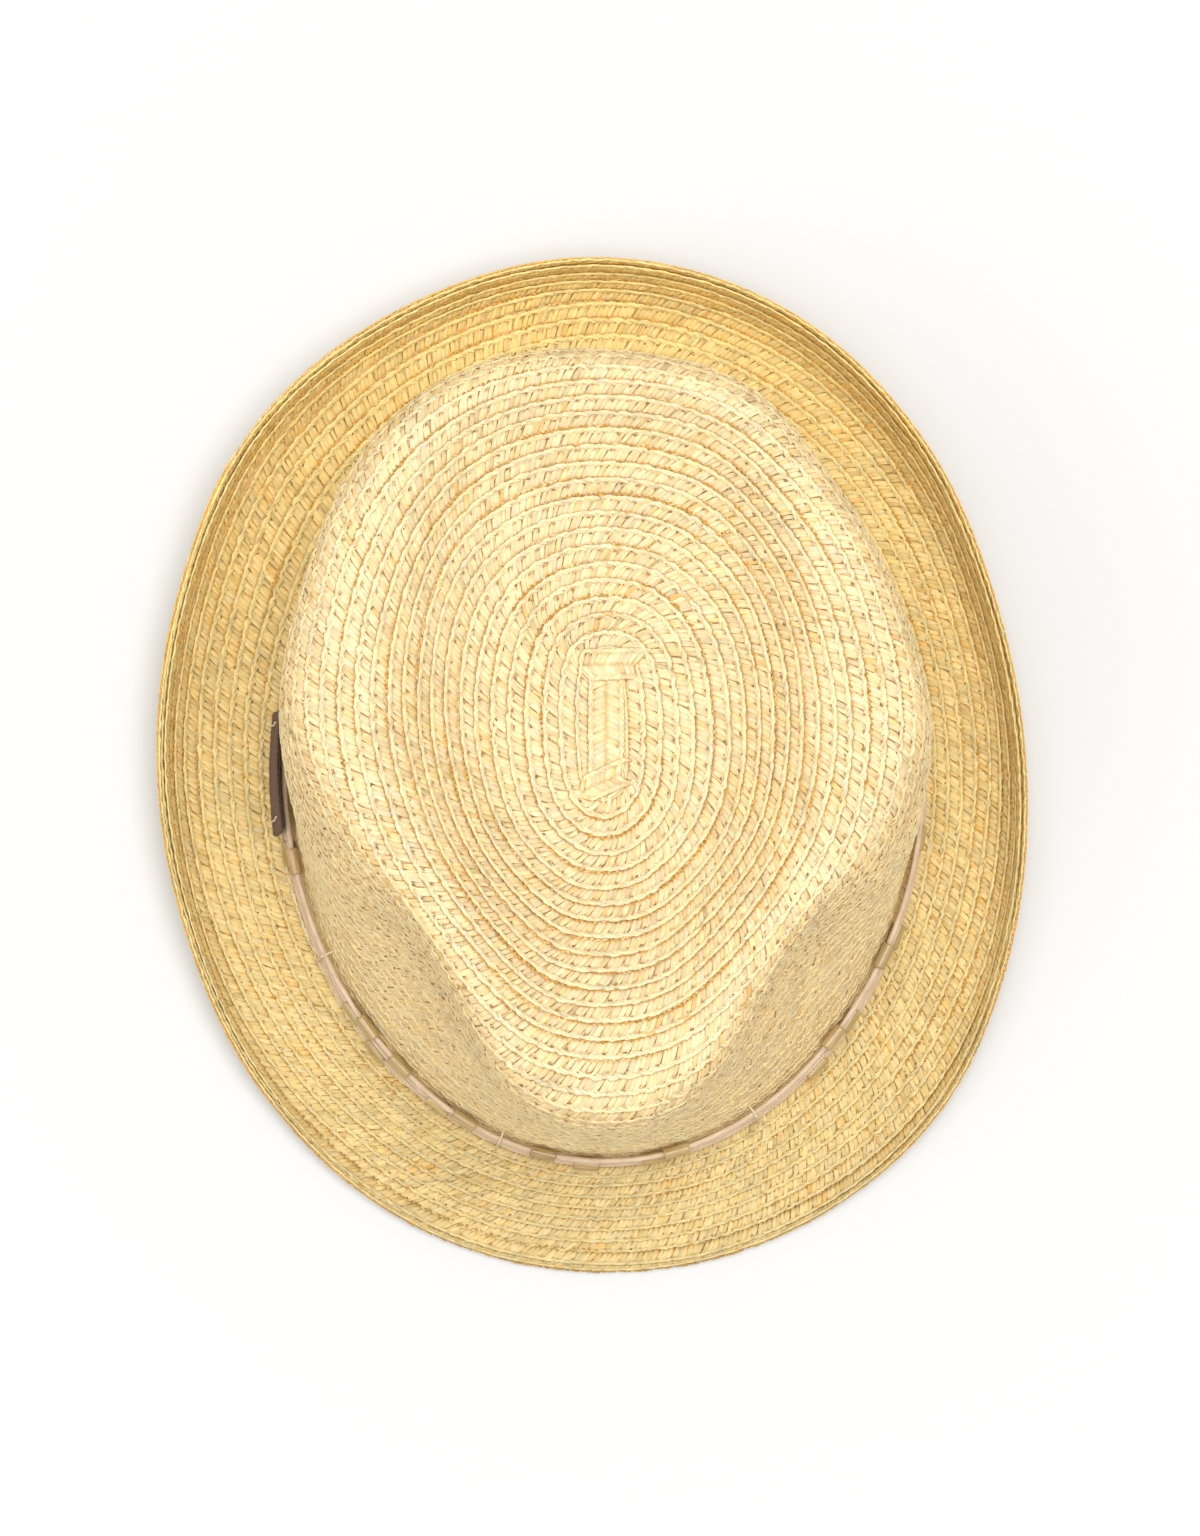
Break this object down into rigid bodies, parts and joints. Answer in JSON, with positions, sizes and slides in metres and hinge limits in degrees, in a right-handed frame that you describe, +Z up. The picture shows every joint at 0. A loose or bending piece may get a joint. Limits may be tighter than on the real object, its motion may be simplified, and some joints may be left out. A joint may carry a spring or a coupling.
{
  "type": "straw trilby hat",
  "caption": "Sewn paper-braid trilby: teardrop crown with a pinched front, short brim curled up at the back and sides, and a hatband of laces with sliding tube beads.",
  "frame": {"origin": "middle of the brim's outline, on the surface that the hat rests on", "axes": "+Z up through the crown, -Y to the front (the pinch), +Y to the back, -X the side with the leather patch"},
  "size_m": [0.2427, 0.2823, 0.1081],
  "materials": {
    "crown_straw": "pale cream paper braid, matt",
    "brim_straw": "golden paper braid, matt",
    "sweatband_cloth": "woven cotton band",
    "thread": "sewing thread",
    "lace_cord": "round waxed lace, satin",
    "bead_wood": "polished cane",
    "patch_leather": "brown suede"
  },
  "bodies": {
    "hat": {"crown_braid": "crown_straw", "crown_start_strip": "crown_straw", "brim_braid": "brim_straw", "brim_edge_round": "brim_straw", "sweatband": "sweatband_cloth", "sweatband_stitches": "thread", "band_tacks": "thread", "leather_patch": "patch_leather", "patch_stitches": "thread", "upper_lace": "lace_cord", "middle_lace": "lace_cord", "lower_lace": "lace_cord"},
    "bead_01": {"bead_01": "bead_wood"},
    "bead_02": {"bead_02": "bead_wood"},
    "bead_03": {"bead_03": "bead_wood"},
    "bead_04": {"bead_04": "bead_wood"},
    "bead_05": {"bead_05": "bead_wood"},
    "bead_06": {"bead_06": "bead_wood"},
    "bead_07": {"bead_07": "bead_wood"},
    "bead_08": {"bead_08": "bead_wood"},
    "bead_09": {"bead_09": "bead_wood"},
    "bead_10": {"bead_10": "bead_wood"},
    "bead_11": {"bead_11": "bead_wood"},
    "bead_12": {"bead_12": "bead_wood"},
    "bead_13": {"bead_13": "bead_wood"},
    "bead_14": {"bead_14": "bead_wood"},
    "bead_15": {"bead_15": "bead_wood"},
    "bead_16": {"bead_16": "bead_wood"},
    "bead_17": {"bead_17": "bead_wood"},
    "bead_18": {"bead_18": "bead_wood"},
    "bead_19": {"bead_19": "bead_wood"},
    "bead_20": {"bead_20": "bead_wood"},
    "bead_21": {"bead_21": "bead_wood"},
    "bead_22": {"bead_22": "bead_wood"},
    "bead_23": {"bead_23": "bead_wood"},
    "bead_24": {"bead_24": "bead_wood"},
    "bead_25": {"bead_25": "bead_wood"},
    "bead_26": {"bead_26": "bead_wood"},
    "bead_27": {"bead_27": "bead_wood"},
    "bead_28": {"bead_28": "bead_wood"},
    "bead_29": {"bead_29": "bead_wood"},
    "bead_30": {"bead_30": "bead_wood"},
    "bead_31": {"bead_31": "bead_wood"},
    "bead_32": {"bead_32": "bead_wood"}
  },
  "joints": [
    {"name": "bead_01_travel", "type": "hinge", "parent": "hat", "child": "bead_01", "pos_m": [-0.00046, 0.0261, 0.0134], "axis": [0, 0, -1], "range_deg": [-5.54, 5.54]},
    {"name": "bead_02_travel", "type": "hinge", "parent": "hat", "child": "bead_02", "pos_m": [-0.03763, -0.00094, 0.0134], "axis": [0, 0, -1], "range_deg": [-3.53, 3.53]},
    {"name": "bead_03_travel", "type": "hinge", "parent": "hat", "child": "bead_03", "pos_m": [-0.02119, -0.00463, 0.0134], "axis": [0, 0, -1], "range_deg": [-4.06, 4.06]},
    {"name": "bead_04_travel", "type": "hinge", "parent": "hat", "child": "bead_04", "pos_m": [-0.02871, -0.00013, 0.0134], "axis": [0, 0, -1], "range_deg": [-3.77, 3.77]},
    {"name": "bead_05_travel", "type": "hinge", "parent": "hat", "child": "bead_05", "pos_m": [0.00261, -0.03676, 0.0134], "axis": [0, 0, -1], "range_deg": [-6.28, 6.28]},
    {"name": "bead_06_travel", "type": "hinge", "parent": "hat", "child": "bead_06", "pos_m": [0.00347, -0.03765, 0.0134], "axis": [0, 0, -1], "range_deg": [-6.36, 6.36]},
    {"name": "bead_07_travel", "type": "hinge", "parent": "hat", "child": "bead_07", "pos_m": [0.00577, -0.03233, 0.0134], "axis": [0, 0, -1], "range_deg": [-5.09, 5.83]},
    {"name": "bead_08_travel", "type": "hinge", "parent": "hat", "child": "bead_08", "pos_m": [0.02628, -0.00806, 0.0134], "axis": [0, 0, -1], "range_deg": [-4.14, 1.63]},
    {"name": "bead_09_travel", "type": "hinge", "parent": "hat", "child": "bead_09", "pos_m": [0.03327, -0.00187, 0.0134], "axis": [0, 0, -1], "range_deg": [-1.5, 3.85]},
    {"name": "bead_10_travel", "type": "hinge", "parent": "hat", "child": "bead_10", "pos_m": [0.04174, 0, 0.0134], "axis": [0, 0, -1], "range_deg": [-3.59, 1.97]},
    {"name": "bead_11_travel", "type": "hinge", "parent": "hat", "child": "bead_11", "pos_m": [0.04399, -0.0004, 0.0134], "axis": [0, 0, -1], "range_deg": [-3.19, 0.75]},
    {"name": "bead_12_travel", "type": "hinge", "parent": "hat", "child": "bead_12", "pos_m": [0.04225, 0.00008, 0.0134], "axis": [0, 0, -1], "range_deg": [-0.76, 0.28]},
    {"name": "bead_13_travel", "type": "hinge", "parent": "hat", "child": "bead_13", "pos_m": [0.03816, 0.00149, 0.0134], "axis": [0, 0, -1], "range_deg": [-0.292, 0.272]},
    {"name": "bead_14_travel", "type": "hinge", "parent": "hat", "child": "bead_14", "pos_m": [0.03335, 0.00353, 0.0134], "axis": [0, 0, -1], "range_deg": [-0.28, 3.87]},
    {"name": "bead_15_travel", "type": "hinge", "parent": "hat", "child": "bead_15", "pos_m": [0.00574, 0.02684, 0.0134], "axis": [0, 0, -1], "range_deg": [-5.6, 5.6]},
    {"name": "bead_16_travel", "type": "hinge", "parent": "hat", "child": "bead_16", "pos_m": [0.00313, 0.03465, 0.0092], "axis": [0, 0, -1], "range_deg": [-6.23, 6.23]},
    {"name": "bead_17_travel", "type": "hinge", "parent": "hat", "child": "bead_17", "pos_m": [-0.01714, 0.00845, 0.0092], "axis": [0, 0, -1], "range_deg": [-4.26, 4.26]},
    {"name": "bead_18_travel", "type": "hinge", "parent": "hat", "child": "bead_18", "pos_m": [-0.03823, -0.0011, 0.0092], "axis": [0, 0, -1], "range_deg": [-3.51, 3.51]},
    {"name": "bead_19_travel", "type": "hinge", "parent": "hat", "child": "bead_19", "pos_m": [-0.01929, -0.0084, 0.0092], "axis": [0, 0, -1], "range_deg": [-4.16, 4.16]},
    {"name": "bead_20_travel", "type": "hinge", "parent": "hat", "child": "bead_20", "pos_m": [0.00301, -0.03649, 0.0092], "axis": [0, 0, -1], "range_deg": [-6.22, 6.22]},
    {"name": "bead_21_travel", "type": "hinge", "parent": "hat", "child": "bead_21", "pos_m": [0.00987, -0.02387, 0.0092], "axis": [0, 0, -1], "range_deg": [-5.21, 5.21]},
    {"name": "bead_22_travel", "type": "hinge", "parent": "hat", "child": "bead_22", "pos_m": [0.02629, -0.0081, 0.0092], "axis": [0, 0, -1], "range_deg": [-4.13, 4.13]},
    {"name": "bead_23_travel", "type": "hinge", "parent": "hat", "child": "bead_23", "pos_m": [0.02107, 0.01027, 0.0092], "axis": [0, 0, -1], "range_deg": [-4.38, 4.38]},
    {"name": "bead_24_travel", "type": "hinge", "parent": "hat", "child": "bead_24", "pos_m": [0.00142, 0.02908, 0.005], "axis": [0, 0, -1], "range_deg": [-5.71, 5.71]},
    {"name": "bead_25_travel", "type": "hinge", "parent": "hat", "child": "bead_25", "pos_m": [-0.0308, 0.00143, 0.005], "axis": [0, 0, -1], "range_deg": [-3.71, 3.71]},
    {"name": "bead_26_travel", "type": "hinge", "parent": "hat", "child": "bead_26", "pos_m": [-0.02986, -0.00375, 0.005], "axis": [0, 0, -1], "range_deg": [-3.73, 3.73]},
    {"name": "bead_27_travel", "type": "hinge", "parent": "hat", "child": "bead_27", "pos_m": [-0.0095, -0.01648, 0.005], "axis": [0, 0, -1], "range_deg": [-4.65, 4.65]},
    {"name": "bead_28_travel", "type": "hinge", "parent": "hat", "child": "bead_28", "pos_m": [0.00321, -0.03712, 0.005], "axis": [0, 0, -1], "range_deg": [-6.2, 6.2]},
    {"name": "bead_29_travel", "type": "hinge", "parent": "hat", "child": "bead_29", "pos_m": [0.01884, -0.0139, 0.005], "axis": [0, 0, -1], "range_deg": [-4.47, 4.47]},
    {"name": "bead_30_travel", "type": "hinge", "parent": "hat", "child": "bead_30", "pos_m": [0.04478, -0.00133, 0.005], "axis": [0, 0, -1], "range_deg": [-3.48, 0.47]},
    {"name": "bead_31_travel", "type": "hinge", "parent": "hat", "child": "bead_31", "pos_m": [0.04175, 0.00001, 0.005], "axis": [0, 0, -1], "range_deg": [-3.57, 3.57]},
    {"name": "bead_32_travel", "type": "hinge", "parent": "hat", "child": "bead_32", "pos_m": [0.00396, 0.03168, 0.005], "axis": [0, 0, -1], "range_deg": [-5.92, 5.92]}
  ]
}
